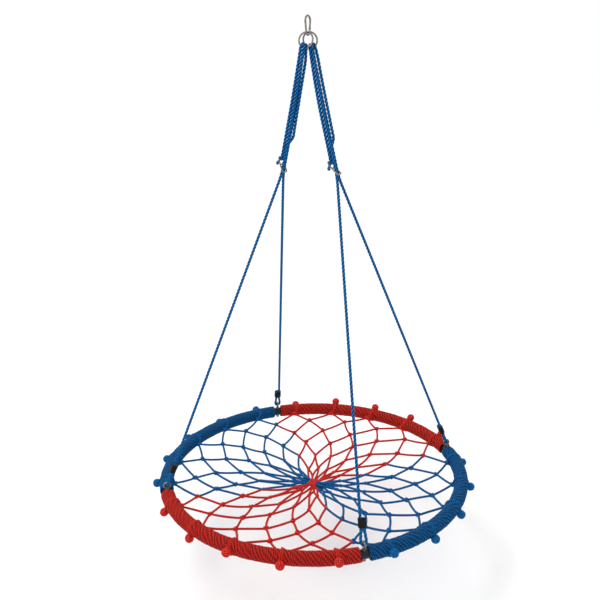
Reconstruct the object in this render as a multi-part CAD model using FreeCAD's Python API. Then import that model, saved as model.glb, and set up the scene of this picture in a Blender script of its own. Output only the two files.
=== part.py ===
"""Saucer nest swing: a wrapped steel ring with a knotted net, hung by four ropes from one snap hook.

Millimetres, +Z up.  The origin is the hanging point, on the inside of the snap hook's top bow.
The front of the swing is -Y.  The ring's four joints, each with an eye bolt and a rope, are at
45, 135, 225 and 315 degrees.  The left and right quarters are blue, the front and back ones red.
"""
import FreeCAD
import Part
import math
import os

Vector = FreeCAD.Vector
ORIGIN = Vector(0, 0, 0)
X_AXIS = Vector(1, 0, 0)
Y_AXIS = Vector(0, 1, 0)
Z_AXIS = Vector(0, 0, 1)

# ---- ring and seat ----
SEAT_DROP = 1413.0            # hanging point down to the ring's centre plane
RING_RADIUS = 479.0           # to the tube's centre line
TUBE_RADIUS = 14.0
TUBE_WALL = 1.4
WRAP_RADIUS = 22.5            # tube and wound cord together
SOCKET_PAST_BOLT = 7.0        # how far a blue tube's open end runs past the bolt
SPIGOT_LENGTH = 36.0          # reduced end of a red tube inside the blue one
SPIGOT_CLEARANCE = 0.2
WRAP_END_GAP = 0.5            # between a blue tube's end and the red cord
BARE_LENGTH = 10.5            # bare blue tube between the bolt and the blue cord
KNOT_STEP_DEG = 18.0
KNOT_RADIUS = 13.5
KNOT_STANDOFF = 31.0          # ring centre line to the centre of a knot
LASHING_RADIUS = 2.6          # cord that ties the net round the wrapped ring
NET_OUTER_RADIUS = 450.7
NET_SAG = 47.0
NET_SAG_POWER = 2.2           # 2 is a parabola; more is flatter in the middle
NET_THICKNESS = 3.0
NET_CENTRE_RADIUS = 24.0
NET_CENTRE_THICKNESS = 12.0

# ---- eye bolts ----
BOLT_RADIUS = 3.0
EYE_WIRE_RADIUS = 3.0
EYE_RADIUS = 9.5              # centre line of the eye
EYE_HEIGHT = 28.2             # eye centre above the ring's centre plane
COLLAR_RADIUS = 5.0
COLLAR_HEIGHT = 2.0
WASHER_RADIUS = 6.5
WASHER_THICKNESS = 1.6
NUT_ACROSS_FLATS = 10.0
NUT_HEIGHT = 5.0

# ---- ropes ----
ROPE_RADIUS = 4.6
STRAND_PITCH = 9.5            # two strands side by side in a clamp
EYE_LOOP_HALF_WIDTH = 9.5
EYE_LOOP_DROP = 8.2           # centre line of the loop's bow below the eye bolt's wire
CLAMP_BOTTOM = 36.0           # along the rope from the eye bolt's wire
CLAMP_LENGTH = 32.0
CLAMP_WIDTH = 24.2
CLAMP_DEPTH = 16.6
CLAMP_GROOVES = 4
FERRULE_LENGTH = 21.0
FERRULE_WALL = 1.0
FIT_GAP = 0.1                 # between parts that touch in use

# ---- snap hook ----
HOOK_WIRE_RADIUS = 2.75
HOOK_HEIGHT = 57.0
HOOK_TOP_RADIUS = 14.0        # centre line of the wide top bow
HOOK_BOTTOM_RADIUS = 10.0     # centre line of the narrow lower bow
LUG_THICKNESS = 2.2           # flattened wire at the gate's hinge and nose
GATE_SLOT = 2.8
GATE_HINGE_Z = -35.0
GATE_NOSE_Z = -16.0
GATE_HINGE_RISE = 3.1         # rivet above the end of the hook's wire
RIVET_RADIUS = 1.0
RIVET_CLEARANCE = 0.05
SPRING_RADIUS = 1.1
SPRING_LENGTH = 5.0
SPRING_START = 7.6

# ---- O-rings ----
O_RING_WIRE_RADIUS = 2.5
O_RING_RADIUS = 21.5
O_RING_TOP_SPACING = 2.65     # each O-ring's wire from the middle, in the hook
O_RING_BOTTOM_SPACING = 11.8  # and at its bottom, where the ropes push the two apart
O_RING_LIFT = 8.0             # its top wire above the hook's bow wire, centre to centre

# ---- rope adjusters ----
ADJUSTER_X = 86.0
ADJUSTER_Z = -413.0
ADJUSTER_WIRE_RADIUS = 2.1
ADJUSTER_HALF_WIDTH = 11.9
ADJUSTER_BEND = 5.0
PAIR_HALF_PITCH = 4.7         # the two standing strands in the adjuster
TAIL_OFFSET = 9.5             # tail strands beside the standing ones
ARCH_HALF_WIDTH = 8.6         # rope over the O-ring's wire
ARCH_HEIGHT = 9.5
ARCH_LEG = 8.0                # how far the arch runs down on the tail's side
TAIL_LEAD = 2.0               # straight rope below that
CROSSING_RADIUS = 10.3        # a front rope's tail passes round the back rope's standing strand
TAIL_CROSSING = ((-306, 20), (-270, 0), (-98, 0), (-85, 45), (-72, 90), (-59, 135), (-46, 175))
TAIL_BESIDE = (-306, -195)
FAN_START = -195.0            # above this the standing strands fan out to the O-ring
BEND_BELOW = 29.0             # where the ropes part below the adjuster
BEND_LEAD = 6.0               # straight rope before that bend
ADJUSTER_ARC = 30.0           # its radius
TAIL_KNOT_RADIUS = 5.2

RING_Z = -SEAT_DROP
CORNERS = {"front_left": 225.0, "back_left": 135.0, "back_right": 45.0, "front_right": 315.0}
QUARTERS = {"right": 0.0, "back": 90.0, "left": 180.0, "front": 270.0}
SOCKET_QUARTERS = ("right", "left")
KNOT_TURNS = {                # degrees upwards from the outside, along each quarter
    "right": (5, -35, -35, -20, -20),
    "back": (35, 45, 40, 55, 15),
    "left": (15, 0, 0, -5, -5),
    "front": (-30, -50, 0, -10, 10),
}


def polar(radius, degrees, z):
    angle = math.radians(degrees)
    return Vector(radius * math.cos(angle), radius * math.sin(angle), z)


def unit(vector):
    copy = Vector(vector)
    copy.normalize()
    return copy


def local_point(origin, axes, values):
    """A point given along three axes from an origin."""
    return origin + axes[0] * values[0] + axes[1] * values[1] + axes[2] * values[2]


def place(shape, origin, axes):
    """Move a shape from the X, Y and Z axes at zero to the three axes at the origin."""
    u, v, w = axes
    matrix = FreeCAD.Matrix(
        u.x, v.x, w.x, origin.x,
        u.y, v.y, w.y, origin.y,
        u.z, v.z, w.z, origin.z,
    )
    moved = shape.copy()
    moved.Placement = FreeCAD.Placement(matrix)
    return moved


def fuse_all(shapes):
    return shapes[0].multiFuse(shapes[1:]).removeSplitter()


def save(name, shape):
    shape.exportStep(f"parts/{name}.step")
    print(f"{name:26s} solids {len(shape.Solids)}  volume {shape.Volume:10.0f}  valid {shape.isValid()}")


# ---------------------------------------------------------------- paths


def bend_radius(before, corner, after):
    """The largest arc that two runs allow, as 0.45 of the shorter run."""
    first = corner - before
    second = after - corner
    turn = first.getAngle(second)
    return 0.45 * min(first.Length, second.Length) / math.tan(turn / 2)


def rounded_path(points, fixed_radii=None):
    """Straight runs joined by tangent arcs; fixed_radii maps a point's index to its own radius."""
    fixed_radii = fixed_radii or {}
    edges = []
    start = points[0]
    for index in range(1, len(points) - 1):
        corner = points[index]
        towards = unit(corner - points[index - 1])
        away = unit(points[index + 1] - corner)
        turn = towards.getAngle(away)
        radius = fixed_radii.get(index, bend_radius(points[index - 1], corner, points[index + 1]))
        reach = radius * math.tan(turn / 2)
        arc_start = corner - towards * reach
        arc_end = corner + away * reach
        middle = corner + unit(away - towards) * (radius / math.cos(turn / 2) - radius)
        edges.append(Part.LineSegment(start, arc_start).toShape())
        edges.append(Part.Arc(arc_start, middle, arc_end).toShape())
        start = arc_end
    edges.append(Part.LineSegment(start, points[-1]).toShape())
    return Part.Wire(edges)


def rod(points, radius, fixed_radii=None):
    """A round bar or rope along a rounded path, checked against its section times its length."""
    path = rounded_path(points, fixed_radii)
    circle = Part.Circle(points[0], unit(points[1] - points[0]), radius)
    solid = path.makePipeShell([Part.Wire(circle.toShape())], True, False)
    expected = math.pi * radius * radius * path.Length
    if abs(solid.Volume / expected - 1) > 0.01:
        raise ValueError(f"rod volume {solid.Volume:.0f}, expected {expected:.0f}")
    return solid


def bar(start, end, radius):
    return Part.makeCylinder(radius, (end - start).Length, start, end - start)


# ---------------------------------------------------------------- snap hook


def hook_point(side, centre_z, radius, degrees):
    """A point on one of the hook's bows; side is +1 on the gate's side and -1 on the spine."""
    angle = math.radians(degrees)
    return Vector(0, side * radius * math.cos(angle), centre_z + radius * math.sin(angle))


def hook_geometry():
    top_z = HOOK_WIRE_RADIUS - HOOK_TOP_RADIUS
    bottom_centre_z = 3 * HOOK_WIRE_RADIUS - HOOK_HEIGHT + HOOK_BOTTOM_RADIUS
    lean = math.degrees(math.asin((HOOK_TOP_RADIUS - HOOK_BOTTOM_RADIUS) / (top_z - bottom_centre_z)))
    return top_z, bottom_centre_z, lean


def side_line(z):
    """The gate side's centre line between the two bows, at a height."""
    top_z, bottom_centre_z, lean = hook_geometry()
    upper = hook_point(1, top_z, HOOK_TOP_RADIUS, -lean)
    lower = hook_point(1, bottom_centre_z, HOOK_BOTTOM_RADIUS, -lean)
    share = (z - lower.z) / (upper.z - lower.z)
    return lower + (upper - lower) * share


def gate_axes():
    along = unit(side_line(GATE_NOSE_Z) - side_line(GATE_HINGE_Z))
    return X_AXIS, along.cross(X_AXIS), along


def snap_hook_body():
    top_z, bottom_centre_z, lean = hook_geometry()
    hinge = side_line(GATE_HINGE_Z)
    nose = side_line(GATE_NOSE_Z)
    lower_gate = hook_point(1, bottom_centre_z, HOOK_BOTTOM_RADIUS, -lean)
    lower_spine = hook_point(-1, bottom_centre_z, HOOK_BOTTOM_RADIUS, -lean)
    upper_spine = hook_point(-1, top_z, HOOK_TOP_RADIUS, -lean)
    upper_gate = hook_point(1, top_z, HOOK_TOP_RADIUS, -lean)
    bottom = Vector(0, 0, bottom_centre_z - HOOK_BOTTOM_RADIUS)
    top = Vector(0, 0, top_z + HOOK_TOP_RADIUS)
    path = Part.Wire([
        Part.LineSegment(hinge, lower_gate).toShape(),
        Part.Arc(lower_gate, bottom, lower_spine).toShape(),
        Part.LineSegment(lower_spine, upper_spine).toShape(),
        Part.Arc(upper_spine, top, upper_gate).toShape(),
        Part.LineSegment(upper_gate, nose).toShape(),
    ])
    circle = Part.Circle(hinge, lower_gate - hinge, HOOK_WIRE_RADIUS)
    body = path.makePipeShell([Part.Wire(circle.toShape())], True, False)
    axes = gate_axes()
    lug_root = 2.5
    nose_reach = 3.5
    lug_half = HOOK_WIRE_RADIUS - 0.3
    lug = Part.makeBox(LUG_THICKNESS, 2 * lug_half, lug_root + GATE_HINGE_RISE,
                       Vector(-LUG_THICKNESS / 2, -lug_half, -lug_root))
    lug = fuse_all([lug, Part.makeCylinder(lug_half, LUG_THICKNESS,
                                           Vector(-LUG_THICKNESS / 2, 0, GATE_HINGE_RISE), X_AXIS)])
    lug = lug.cut(Part.makeCylinder(RIVET_RADIUS, 2 * LUG_THICKNESS,
                                    Vector(-LUG_THICKNESS, 0, GATE_HINGE_RISE), X_AXIS))
    blade = Part.makeBox(LUG_THICKNESS, 2 * lug_half, 2 * nose_reach,
                         Vector(-LUG_THICKNESS / 2, -lug_half, -nose_reach))
    return fuse_all([body, place(lug, hinge, axes), place(blade, nose, axes)])


def gate_length():
    return (side_line(GATE_NOSE_Z) - side_line(GATE_HINGE_Z)).Length


def gate_hinge_point():
    return side_line(GATE_HINGE_Z) + gate_axes()[2] * GATE_HINGE_RISE


def snap_hook_gate():
    """A round gate, slotted at both ends for the hook's lug and nose."""
    start = 0.4
    length = gate_length() - 2 * start
    gate = Part.makeCylinder(HOOK_WIRE_RADIUS, length, Vector(0, 0, start), Z_AXIS)
    lug_slot = 7.0
    nose_slot = 4.3
    wide = 4 * HOOK_WIRE_RADIUS
    gate = gate.cut(Part.makeBox(GATE_SLOT, wide, lug_slot, Vector(-GATE_SLOT / 2, -wide / 2, start)))
    gate = gate.cut(Part.makeBox(GATE_SLOT, wide, nose_slot,
                                 Vector(-GATE_SLOT / 2, -wide / 2, start + length - nose_slot)))
    corner = fuse_all([
        Part.makeCylinder(HOOK_WIRE_RADIUS, wide, Vector(-wide / 2, 0, GATE_HINGE_RISE), X_AXIS),
        Part.makeBox(wide, wide, length, Vector(-wide / 2, -wide / 2, GATE_HINGE_RISE)),
    ])
    gate = gate.common(corner)
    hole_radius = RIVET_RADIUS + RIVET_CLEARANCE
    gate = gate.cut(Part.makeCylinder(hole_radius, wide, Vector(-wide / 2, 0, GATE_HINGE_RISE), X_AXIS))
    bore_radius = SPRING_RADIUS + FIT_GAP
    bore_end = SPRING_START + SPRING_LENGTH + FIT_GAP
    gate = gate.cut(Part.makeCylinder(bore_radius, bore_end - lug_slot, Vector(0, 0, lug_slot), Z_AXIS))
    return place(gate, side_line(GATE_HINGE_Z), gate_axes())


def gate_spring():
    foot = Vector(0, 0, SPRING_START)
    spring = Part.makeCylinder(SPRING_RADIUS, SPRING_LENGTH, foot, Z_AXIS)
    spring = spring.cut(Part.makeCylinder(SPRING_RADIUS / 2, SPRING_LENGTH, foot, Z_AXIS))
    return place(spring, side_line(GATE_HINGE_Z), gate_axes())


def gate_rivet():
    head_radius = 1.7
    head_height = 0.5
    half = HOOK_WIRE_RADIUS + FIT_GAP
    pin = Part.makeCylinder(RIVET_RADIUS, 2 * half, Vector(-half, 0, 0), X_AXIS)
    heads = [Part.makeCylinder(head_radius, head_height, Vector(half, 0, 0), X_AXIS),
             Part.makeCylinder(head_radius, head_height, Vector(-half - head_height, 0, 0), X_AXIS)]
    return place(fuse_all([pin] + heads), gate_hinge_point(), gate_axes())


# ---------------------------------------------------------------- O-rings and bundles


def bow_wire_z():
    """Height of the hook's lower bow wire, at its centre line."""
    bottom_centre_z = hook_geometry()[1]
    return bottom_centre_z - HOOK_BOTTOM_RADIUS


def bundle(side):
    """Origin at the adjuster, and axes to the left, to the back and down along the ropes."""
    bow = Vector(0, 0, bow_wire_z())
    origin = Vector(side * ADJUSTER_X, 0, ADJUSTER_Z)
    down = unit(origin - bow)
    left = Y_AXIS.cross(down)
    if left.x > 0:
        left = left * -1
    return origin, (left, Y_AXIS, down)


def ring_distance():
    """From the adjuster up to the wire at the bottom of the O-ring."""
    origin = bundle(1)[0]
    from_bow = 2 * O_RING_RADIUS - O_RING_LIFT
    return (origin - Vector(0, 0, bow_wire_z())).Length - from_bow


def o_ring(side):
    origin, axes = bundle(side)
    bottom = origin - axes[2] * ring_distance() + Y_AXIS * (side * O_RING_BOTTOM_SPACING)
    top_distance = ring_distance() + 2 * O_RING_RADIUS
    top = origin - axes[2] * top_distance + Y_AXIS * (side * O_RING_TOP_SPACING)
    normal = axes[0].cross(bottom - top)
    return Part.makeTorus(O_RING_RADIUS, O_RING_WIRE_RADIUS, (top + bottom) / 2, normal)


def adjuster(side):
    """Bent figure of eight: the standing ropes pass the lower loop, the tails are tied in the upper."""
    origin, axes = bundle(side)
    middle = (7.2, 0.0)
    bottom = (-7.2, 20.6)
    top = (16.9, -20.0)

    def corner(place_at, y):
        return local_point(origin, axes, (place_at[0], y, place_at[1]))

    width = ADJUSTER_HALF_WIDTH
    bends = {1: ADJUSTER_BEND, 2: ADJUSTER_BEND}
    pieces = []
    for far in (bottom, top):
        points = [corner(middle, -width), corner(far, -width), corner(far, width), corner(middle, width)]
        pieces.append(rod(points, ADJUSTER_WIRE_RADIUS, bends))
    pieces.append(bar(corner(middle, -width), corner(middle, width), ADJUSTER_WIRE_RADIUS))
    for y in (-width, width):
        pieces.append(Part.makeSphere(ADJUSTER_WIRE_RADIUS, corner(middle, y)))
    return fuse_all(pieces)


# ---------------------------------------------------------------- ropes


def corner_side(corner):
    return 1 if corner.endswith("right") else -1


def corner_row(corner):
    """-1 for the front rope of a pair, +1 for the back one."""
    return 1 if corner.startswith("back") else -1


def parting_point(corner):
    """Where a rope bends below the adjuster."""
    origin, axes = bundle(corner_side(corner))
    return local_point(origin, axes, (0, corner_row(corner) * PAIR_HALF_PITCH, BEND_BELOW))


def eye_frame(corner):
    """The eye bolt's wire where the rope pulls, and axes across, through and up the rope's loop."""
    centre = polar(RING_RADIUS, CORNERS[corner], RING_Z + EYE_HEIGHT)
    tangent = polar(1, CORNERS[corner] + 90, 0)
    pull = parting_point(corner) - centre
    eye = centre + unit(pull - tangent * pull.dot(tangent)) * EYE_RADIUS
    up = unit(parting_point(corner) - eye)
    through = unit(up.cross(tangent))
    return eye, (through.cross(up), through, up)


def rope_lower_points(corner):
    """Tail end in the clamp, round the eye bolt, back through the clamp and up to the adjuster."""
    eye, axes = eye_frame(corner)
    half = STRAND_PITCH / 2
    wide = EYE_LOOP_HALF_WIDTH
    flat = [
        (half, CLAMP_BOTTOM + CLAMP_LENGTH - 4),
        (half, CLAMP_BOTTOM - 4),
        (wide - 2.5, 15.0),
        (wide, -EYE_LOOP_DROP),
        (-wide, -EYE_LOOP_DROP),
        (-wide + 2.5, 15.0),
        (-half, CLAMP_BOTTOM - 4),
        (-half, CLAMP_BOTTOM + CLAMP_LENGTH + 2),
    ]
    points = [local_point(eye, axes, (across, 0, up)) for across, up in flat]
    run = unit(parting_point(corner) - points[-1])
    return points + [parting_point(corner) - run * BEND_LEAD]


def standing_lane(corner, along):
    """Offsets of a standing strand from its bundle's middle, at a distance from the adjuster."""
    side = corner_side(corner)
    row = corner_row(corner)
    share = max(0.0, (FAN_START - along) / (FAN_START + ring_distance() + ARCH_HEIGHT))
    top_left = row * STRAND_PITCH / 2
    top_back = side * O_RING_BOTTOM_SPACING + row * ARCH_HALF_WIDTH
    low_back = row * PAIR_HALF_PITCH
    return top_left * share, low_back + (top_back - low_back) * share


def arch_points(corner):
    """Over the O-ring's wire, from the standing strand's side to the tail's."""
    side = corner_side(corner)
    row = corner_row(corner)
    origin, axes = bundle(side)
    left = row * STRAND_PITCH / 2
    middle = side * O_RING_BOTTOM_SPACING
    ring = -ring_distance()
    flat = [
        (left, middle + row * ARCH_HALF_WIDTH, ring - ARCH_HEIGHT),
        (left, middle - row * ARCH_HALF_WIDTH, ring - ARCH_HEIGHT),
        (left, middle - row * ARCH_HALF_WIDTH, ring + ARCH_LEG),
    ]
    return [local_point(origin, axes, values) for values in flat]


def rope_upper_points(corner):
    """From the bend below the adjuster, up and over the O-ring's wire."""
    origin, axes = bundle(corner_side(corner))
    left, back = standing_lane(corner, FAN_START)
    fan = local_point(origin, axes, (left, back, FAN_START))
    return [rope_lower_points(corner)[-1], parting_point(corner), fan] + arch_points(corner)


def rope_tail_points(corner):
    """From the O-ring down the other side and through the adjuster's upper loop."""
    row = corner_row(corner)
    origin, axes = bundle(corner_side(corner))
    back = -row * PAIR_HALF_PITCH
    neighbour = corner.replace("front", "back") if row < 0 else corner.replace("back", "front")
    middle = []
    if row < 0:
        for along, degrees in TAIL_CROSSING:
            angle = math.radians(degrees)
            lane_left, lane_back = standing_lane(neighbour, along)
            middle.append((lane_left - CROSSING_RADIUS * math.cos(angle),
                           lane_back + CROSSING_RADIUS * math.sin(angle), along))
    else:
        for along in TAIL_BESIDE:
            lane_left, lane_back = standing_lane(neighbour, along)
            middle.append((lane_left + TAIL_OFFSET, lane_back, along))
    end = [(TAIL_OFFSET, back, -15.0), (12.6, back, -12.2)]
    start = arch_points(corner)[-1]
    points = [start, start + axes[2] * TAIL_LEAD]
    return points + [local_point(origin, axes, values) for values in middle + end]


def rope_upper(corner):
    return rod(rope_upper_points(corner), ROPE_RADIUS, {1: ADJUSTER_ARC})


def tail_knots(side):
    """Stopper knots at the two tails' ends, one above the other."""
    origin, axes = bundle(side)
    knots = []
    for row, shift in ((-1, -5.5), (1, 5.5)):
        centre = local_point(origin, axes, (20.2, -row * PAIR_HALF_PITCH, -6.5 + shift))
        knots.append(Part.makeSphere(TAIL_KNOT_RADIUS, centre))
    return Part.makeCompound(knots)


# ---------------------------------------------------------------- rope clamps


def stadium(width, depth, length, z):
    """An upright solid with a flat oval section, as wide along X as width."""
    radius = depth / 2
    half = width / 2 - radius
    wire = Part.Wire([
        Part.LineSegment(Vector(-half, -radius, z), Vector(half, -radius, z)).toShape(),
        Part.Arc(Vector(half, -radius, z), Vector(half + radius, 0, z), Vector(half, radius, z)).toShape(),
        Part.LineSegment(Vector(half, radius, z), Vector(-half, radius, z)).toShape(),
        Part.Arc(Vector(-half, radius, z), Vector(-half - radius, 0, z), Vector(-half, -radius, z)).toShape(),
    ])
    return Part.Face(wire).extrude(Vector(0, 0, length))


def rope_ferrule(corner):
    eye, axes = eye_frame(corner)
    hole_width = STRAND_PITCH + 2 * (ROPE_RADIUS + FIT_GAP)
    hole_depth = 2 * (ROPE_RADIUS + FIT_GAP)
    start = CLAMP_BOTTOM + (CLAMP_LENGTH - FERRULE_LENGTH) / 2
    outer = stadium(hole_width + 2 * FERRULE_WALL, hole_depth + 2 * FERRULE_WALL, FERRULE_LENGTH, start)
    return place(outer.cut(stadium(hole_width, hole_depth, FERRULE_LENGTH, start)), eye, axes)


def clamp_shell(corner, face):
    """One half of the moulded sleeve over the ferrule; face is -1 inside and +1 outside."""
    eye, axes = eye_frame(corner)
    hole_width = STRAND_PITCH + 2 * (ROPE_RADIUS + FIT_GAP)
    hole_depth = 2 * (ROPE_RADIUS + FIT_GAP)
    body = stadium(CLAMP_WIDTH, CLAMP_DEPTH, CLAMP_LENGTH, CLAMP_BOTTOM)
    body = body.makeChamfer(2.2, [edge for edge in body.Edges if edge.BoundBox.ZLength < 0.01])
    groove_pitch = CLAMP_LENGTH / (CLAMP_GROOVES + 1)
    for index in range(CLAMP_GROOVES):
        z = CLAMP_BOTTOM + groove_pitch * (index + 1) - 0.6
        band = stadium(CLAMP_WIDTH + 4, CLAMP_DEPTH + 4, 1.2, z)
        body = body.cut(band.cut(stadium(CLAMP_WIDTH - 1.4, CLAMP_DEPTH - 1.4, 1.2, z)))
    start = CLAMP_BOTTOM + (CLAMP_LENGTH - FERRULE_LENGTH) / 2 - FIT_GAP
    room = 2 * (FERRULE_WALL + FIT_GAP)
    body = body.cut(stadium(hole_width + room, hole_depth + room, FERRULE_LENGTH + 2 * FIT_GAP, start))
    body = body.cut(stadium(hole_width, hole_depth, CLAMP_LENGTH, CLAMP_BOTTOM))
    low = 0.05 if face > 0 else -CLAMP_DEPTH
    half = Part.makeBox(2 * CLAMP_WIDTH, CLAMP_DEPTH - 0.05, 2 * CLAMP_LENGTH, Vector(-CLAMP_WIDTH, low, 0))
    return place(body.common(half), eye, axes)


# ---------------------------------------------------------------- ring


def ring_arc(start_deg, end_deg, outer, inner):
    """Part of a round tube bent to the ring's radius."""
    section = Part.Face(Part.Wire(Part.Circle(Vector(RING_RADIUS, 0, RING_Z), Y_AXIS, outer).toShape()))
    hole = Part.Face(Part.Wire(Part.Circle(Vector(RING_RADIUS, 0, RING_Z), Y_AXIS, inner).toShape()))
    swept = section.cut(hole).revolve(ORIGIN, Z_AXIS, end_deg - start_deg)
    swept.rotate(ORIGIN, Z_AXIS, start_deg)
    return swept


def arc_degrees(length):
    return math.degrees(length / RING_RADIUS)


def ring_tube(quarter):
    middle = QUARTERS[quarter]
    inner = TUBE_RADIUS - TUBE_WALL
    past = arc_degrees(SOCKET_PAST_BOLT)
    if quarter in SOCKET_QUARTERS:
        tube = ring_arc(middle - 45 - past, middle + 45 + past, TUBE_RADIUS, inner)
    else:
        gap = arc_degrees(0.5)
        spigot = arc_degrees(SPIGOT_LENGTH)
        start = middle - 45 + past + gap
        end = middle + 45 - past - gap
        reduced = inner - SPIGOT_CLEARANCE
        bore = reduced - TUBE_WALL
        tube = fuse_all([
            ring_arc(start, end, TUBE_RADIUS, bore),
            ring_arc(start - spigot, start + 1, reduced, bore),
            ring_arc(end - 1, end + spigot, reduced, bore),
        ])
    for bolt_deg in (middle - 45, middle + 45):
        foot = polar(RING_RADIUS, bolt_deg, RING_Z - 2 * TUBE_RADIUS)
        tube = tube.cut(Part.makeCylinder(BOLT_RADIUS + 0.2, 4 * TUBE_RADIUS, foot, Z_AXIS))
    return tube


def cord_wrap(quarter):
    middle = QUARTERS[quarter]
    if quarter in SOCKET_QUARTERS:
        trim = arc_degrees(BARE_LENGTH)
    else:
        trim = arc_degrees(SOCKET_PAST_BOLT + WRAP_END_GAP)
    return ring_arc(middle - 45 + trim, middle + 45 - trim, WRAP_RADIUS, TUBE_RADIUS + FIT_GAP / 2)


def ring_knot():
    """A knot and the lashing round the wrapped ring, about a straight piece of the ring along Y."""
    knob = Part.makeSphere(KNOT_RADIUS)
    knob.rotate(ORIGIN, X_AXIS, 90)
    knob.translate(X_AXIS * KNOT_STANDOFF)
    room = WRAP_RADIUS + 0.4
    knob = knob.cut(Part.makeCylinder(room, 4 * KNOT_RADIUS, Vector(0, -2 * KNOT_RADIUS, 0), Y_AXIS))
    lashing = Part.makeTorus(room + 0.1 + LASHING_RADIUS, LASHING_RADIUS, ORIGIN, Y_AXIS)
    return fuse_all([knob, lashing])


def ring_knots(quarter):
    """The quarter's five knots, each turned a little differently round the tube."""
    knots = []
    single = ring_knot()
    for index, turn in enumerate(KNOT_TURNS[quarter]):
        knot = single.copy()
        knot.rotate(ORIGIN, Y_AXIS, -turn)
        knot.translate(Vector(RING_RADIUS, 0, RING_Z))
        knot.rotate(ORIGIN, Z_AXIS, QUARTERS[quarter] + KNOT_STEP_DEG * (index - 2))
        knots.append(knot)
    return Part.makeCompound(knots)


def net_height(radius):
    """The net's middle surface: an even sag to the centre."""
    return RING_Z - NET_SAG * (1 - (radius / RING_RADIUS) ** NET_SAG_POWER)


def net_quarter(quarter):
    """The knotted net's quarter as a thin dished sheet of the same outline and sag."""
    half = NET_THICKNESS / 2
    middle_radius = (NET_CENTRE_RADIUS + NET_OUTER_RADIUS) / 2
    radii = (NET_CENTRE_RADIUS + 1, middle_radius, NET_OUTER_RADIUS)
    upper = [Vector(radius, 0, net_height(radius) + half) for radius in radii]
    lower = [Vector(radius, 0, net_height(radius) - half) for radius in radii]
    section = Part.Face(Part.Wire([
        Part.Arc(*upper).toShape(),
        Part.LineSegment(upper[2], lower[2]).toShape(),
        Part.Arc(*lower).toShape(),
        Part.LineSegment(lower[0], upper[0]).toShape(),
    ]))
    gap = 0.6
    sheet = section.revolve(ORIGIN, Z_AXIS, 90 - gap)
    sheet.rotate(ORIGIN, Z_AXIS, QUARTERS[quarter] - 45 + gap / 2)
    return sheet


def net_centre():
    centre = Vector(0, 0, net_height(0))
    disc = Part.makeCylinder(NET_CENTRE_RADIUS, NET_CENTRE_THICKNESS,
                             centre - Z_AXIS * (NET_CENTRE_THICKNESS / 2), Z_AXIS)
    return disc.makeFillet(NET_CENTRE_THICKNESS / 2 - 0.5, disc.Edges)


# ---------------------------------------------------------------- eye bolts


def eye_bolt(corner):
    degrees = CORNERS[corner]
    tangent = polar(1, degrees + 90, 0)
    eye_centre = polar(RING_RADIUS, degrees, RING_Z + EYE_HEIGHT)
    eye = Part.makeTorus(EYE_RADIUS, EYE_WIRE_RADIUS, eye_centre, tangent)
    collar_z = RING_Z + TUBE_RADIUS + WASHER_THICKNESS
    collar = Part.makeCylinder(COLLAR_RADIUS, COLLAR_HEIGHT, polar(RING_RADIUS, degrees, collar_z), Z_AXIS)
    tip_z = RING_Z - TUBE_RADIUS - WASHER_THICKNESS - NUT_HEIGHT - 2
    shank_length = collar_z + COLLAR_HEIGHT - tip_z
    shank = Part.makeCylinder(BOLT_RADIUS, shank_length, polar(RING_RADIUS, degrees, tip_z), Z_AXIS)
    return fuse_all([eye, collar, shank])


def bolt_washers():
    washers = []
    saddle = ring_arc(0, 360, TUBE_RADIUS + FIT_GAP / 2, 1)
    for degrees in CORNERS.values():
        for z in (RING_Z + TUBE_RADIUS - 1.5, RING_Z - TUBE_RADIUS - WASHER_THICKNESS):
            foot = polar(RING_RADIUS, degrees, z)
            washer = Part.makeCylinder(WASHER_RADIUS, WASHER_THICKNESS + 1.5, foot, Z_AXIS)
            washer = washer.cut(Part.makeCylinder(BOLT_RADIUS, WASHER_THICKNESS + 1.5, foot, Z_AXIS))
            washers.append(washer.cut(saddle))
    return Part.makeCompound(washers)


def bolt_nuts():
    nuts = []
    corner_radius = NUT_ACROSS_FLATS / math.sqrt(3)
    for degrees in CORNERS.values():
        foot = polar(RING_RADIUS, degrees, RING_Z - TUBE_RADIUS - WASHER_THICKNESS - NUT_HEIGHT)
        corners = [foot + polar(corner_radius, degrees + 60 * index, 0) for index in range(7)]
        nut = Part.Face(Part.makePolygon(corners)).extrude(Vector(0, 0, NUT_HEIGHT))
        nuts.append(nut.cut(Part.makeCylinder(BOLT_RADIUS, NUT_HEIGHT, foot, Z_AXIS)))
    return Part.makeCompound(nuts)


# ---------------------------------------------------------------- export


def main():
    os.makedirs("parts", exist_ok=True)
    save("snap_hook_body", snap_hook_body())
    save("snap_hook_gate", snap_hook_gate())
    save("gate_spring", gate_spring())
    save("gate_rivet", gate_rivet())
    for name, side in (("left", -1), ("right", 1)):
        save(f"o_ring_{name}", o_ring(side))
        save(f"rope_adjuster_{name}", adjuster(side))
        save(f"tail_knots_{name}", tail_knots(side))
    for corner in CORNERS:
        save(f"rope_{corner}_lower", rod(rope_lower_points(corner), ROPE_RADIUS))
        save(f"rope_{corner}_upper", rope_upper(corner))
        save(f"rope_{corner}_tail", rod(rope_tail_points(corner), ROPE_RADIUS))
        save(f"clamp_{corner}_inner", clamp_shell(corner, -1))
        save(f"clamp_{corner}_outer", clamp_shell(corner, 1))
        save(f"eye_bolt_{corner}", eye_bolt(corner))
    save("rope_ferrules", Part.makeCompound([rope_ferrule(corner) for corner in CORNERS]))
    save("bolt_washers", bolt_washers())
    save("bolt_nuts", bolt_nuts())
    for quarter in QUARTERS:
        save(f"ring_tube_{quarter}", ring_tube(quarter))
        save(f"cord_wrap_{quarter}", cord_wrap(quarter))
        save(f"ring_knots_{quarter}", ring_knots(quarter))
        save(f"net_{quarter}", net_quarter(quarter))
    save("net_centre", net_centre())


main()
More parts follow.
